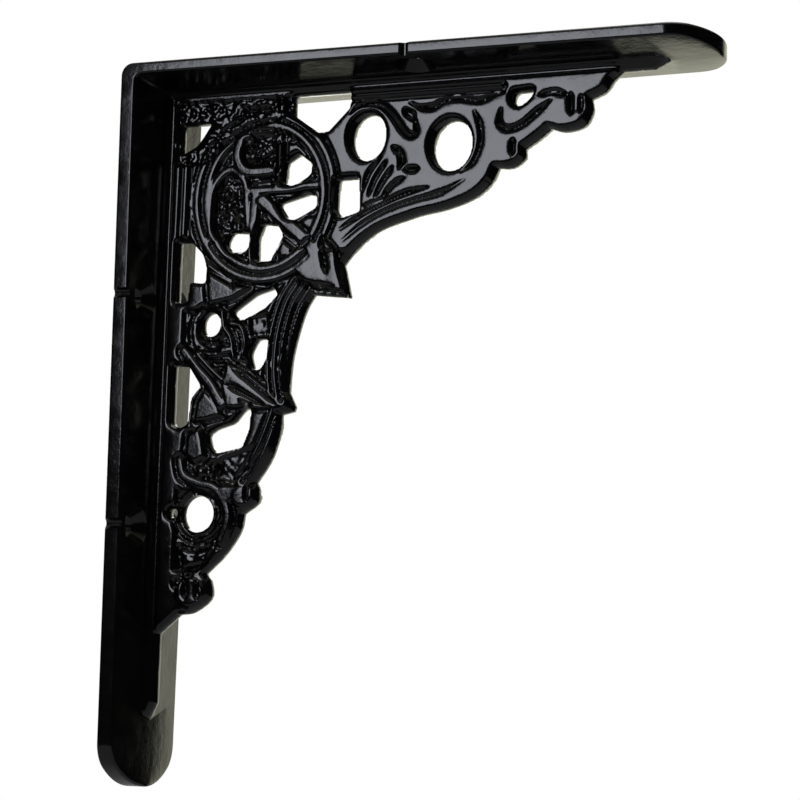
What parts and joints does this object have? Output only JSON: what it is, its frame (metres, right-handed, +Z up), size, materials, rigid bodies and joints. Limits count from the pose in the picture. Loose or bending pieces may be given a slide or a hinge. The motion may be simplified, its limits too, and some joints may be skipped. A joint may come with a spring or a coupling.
{
  "type": "shelf bracket",
  "caption": "Ornamental cast iron shelf bracket: two tapered flanges with countersunk screw holes, joined at a right angle by an openwork scroll and leaf web.",
  "frame": {"origin": "on the wall face, at the middle of the rectangle of four wall screw holes", "axes": "+X points out from the wall along the shelf flange, +Y runs across the bracket along the wall, +Z points up towards the shelf face"},
  "size_m": [0.127, 0.033, 0.1519],
  "materials": {
    "casting": "gloss"
  },
  "bodies": {
    "root": {"shelf_bracket": "casting"}
  },
  "joints": []
}
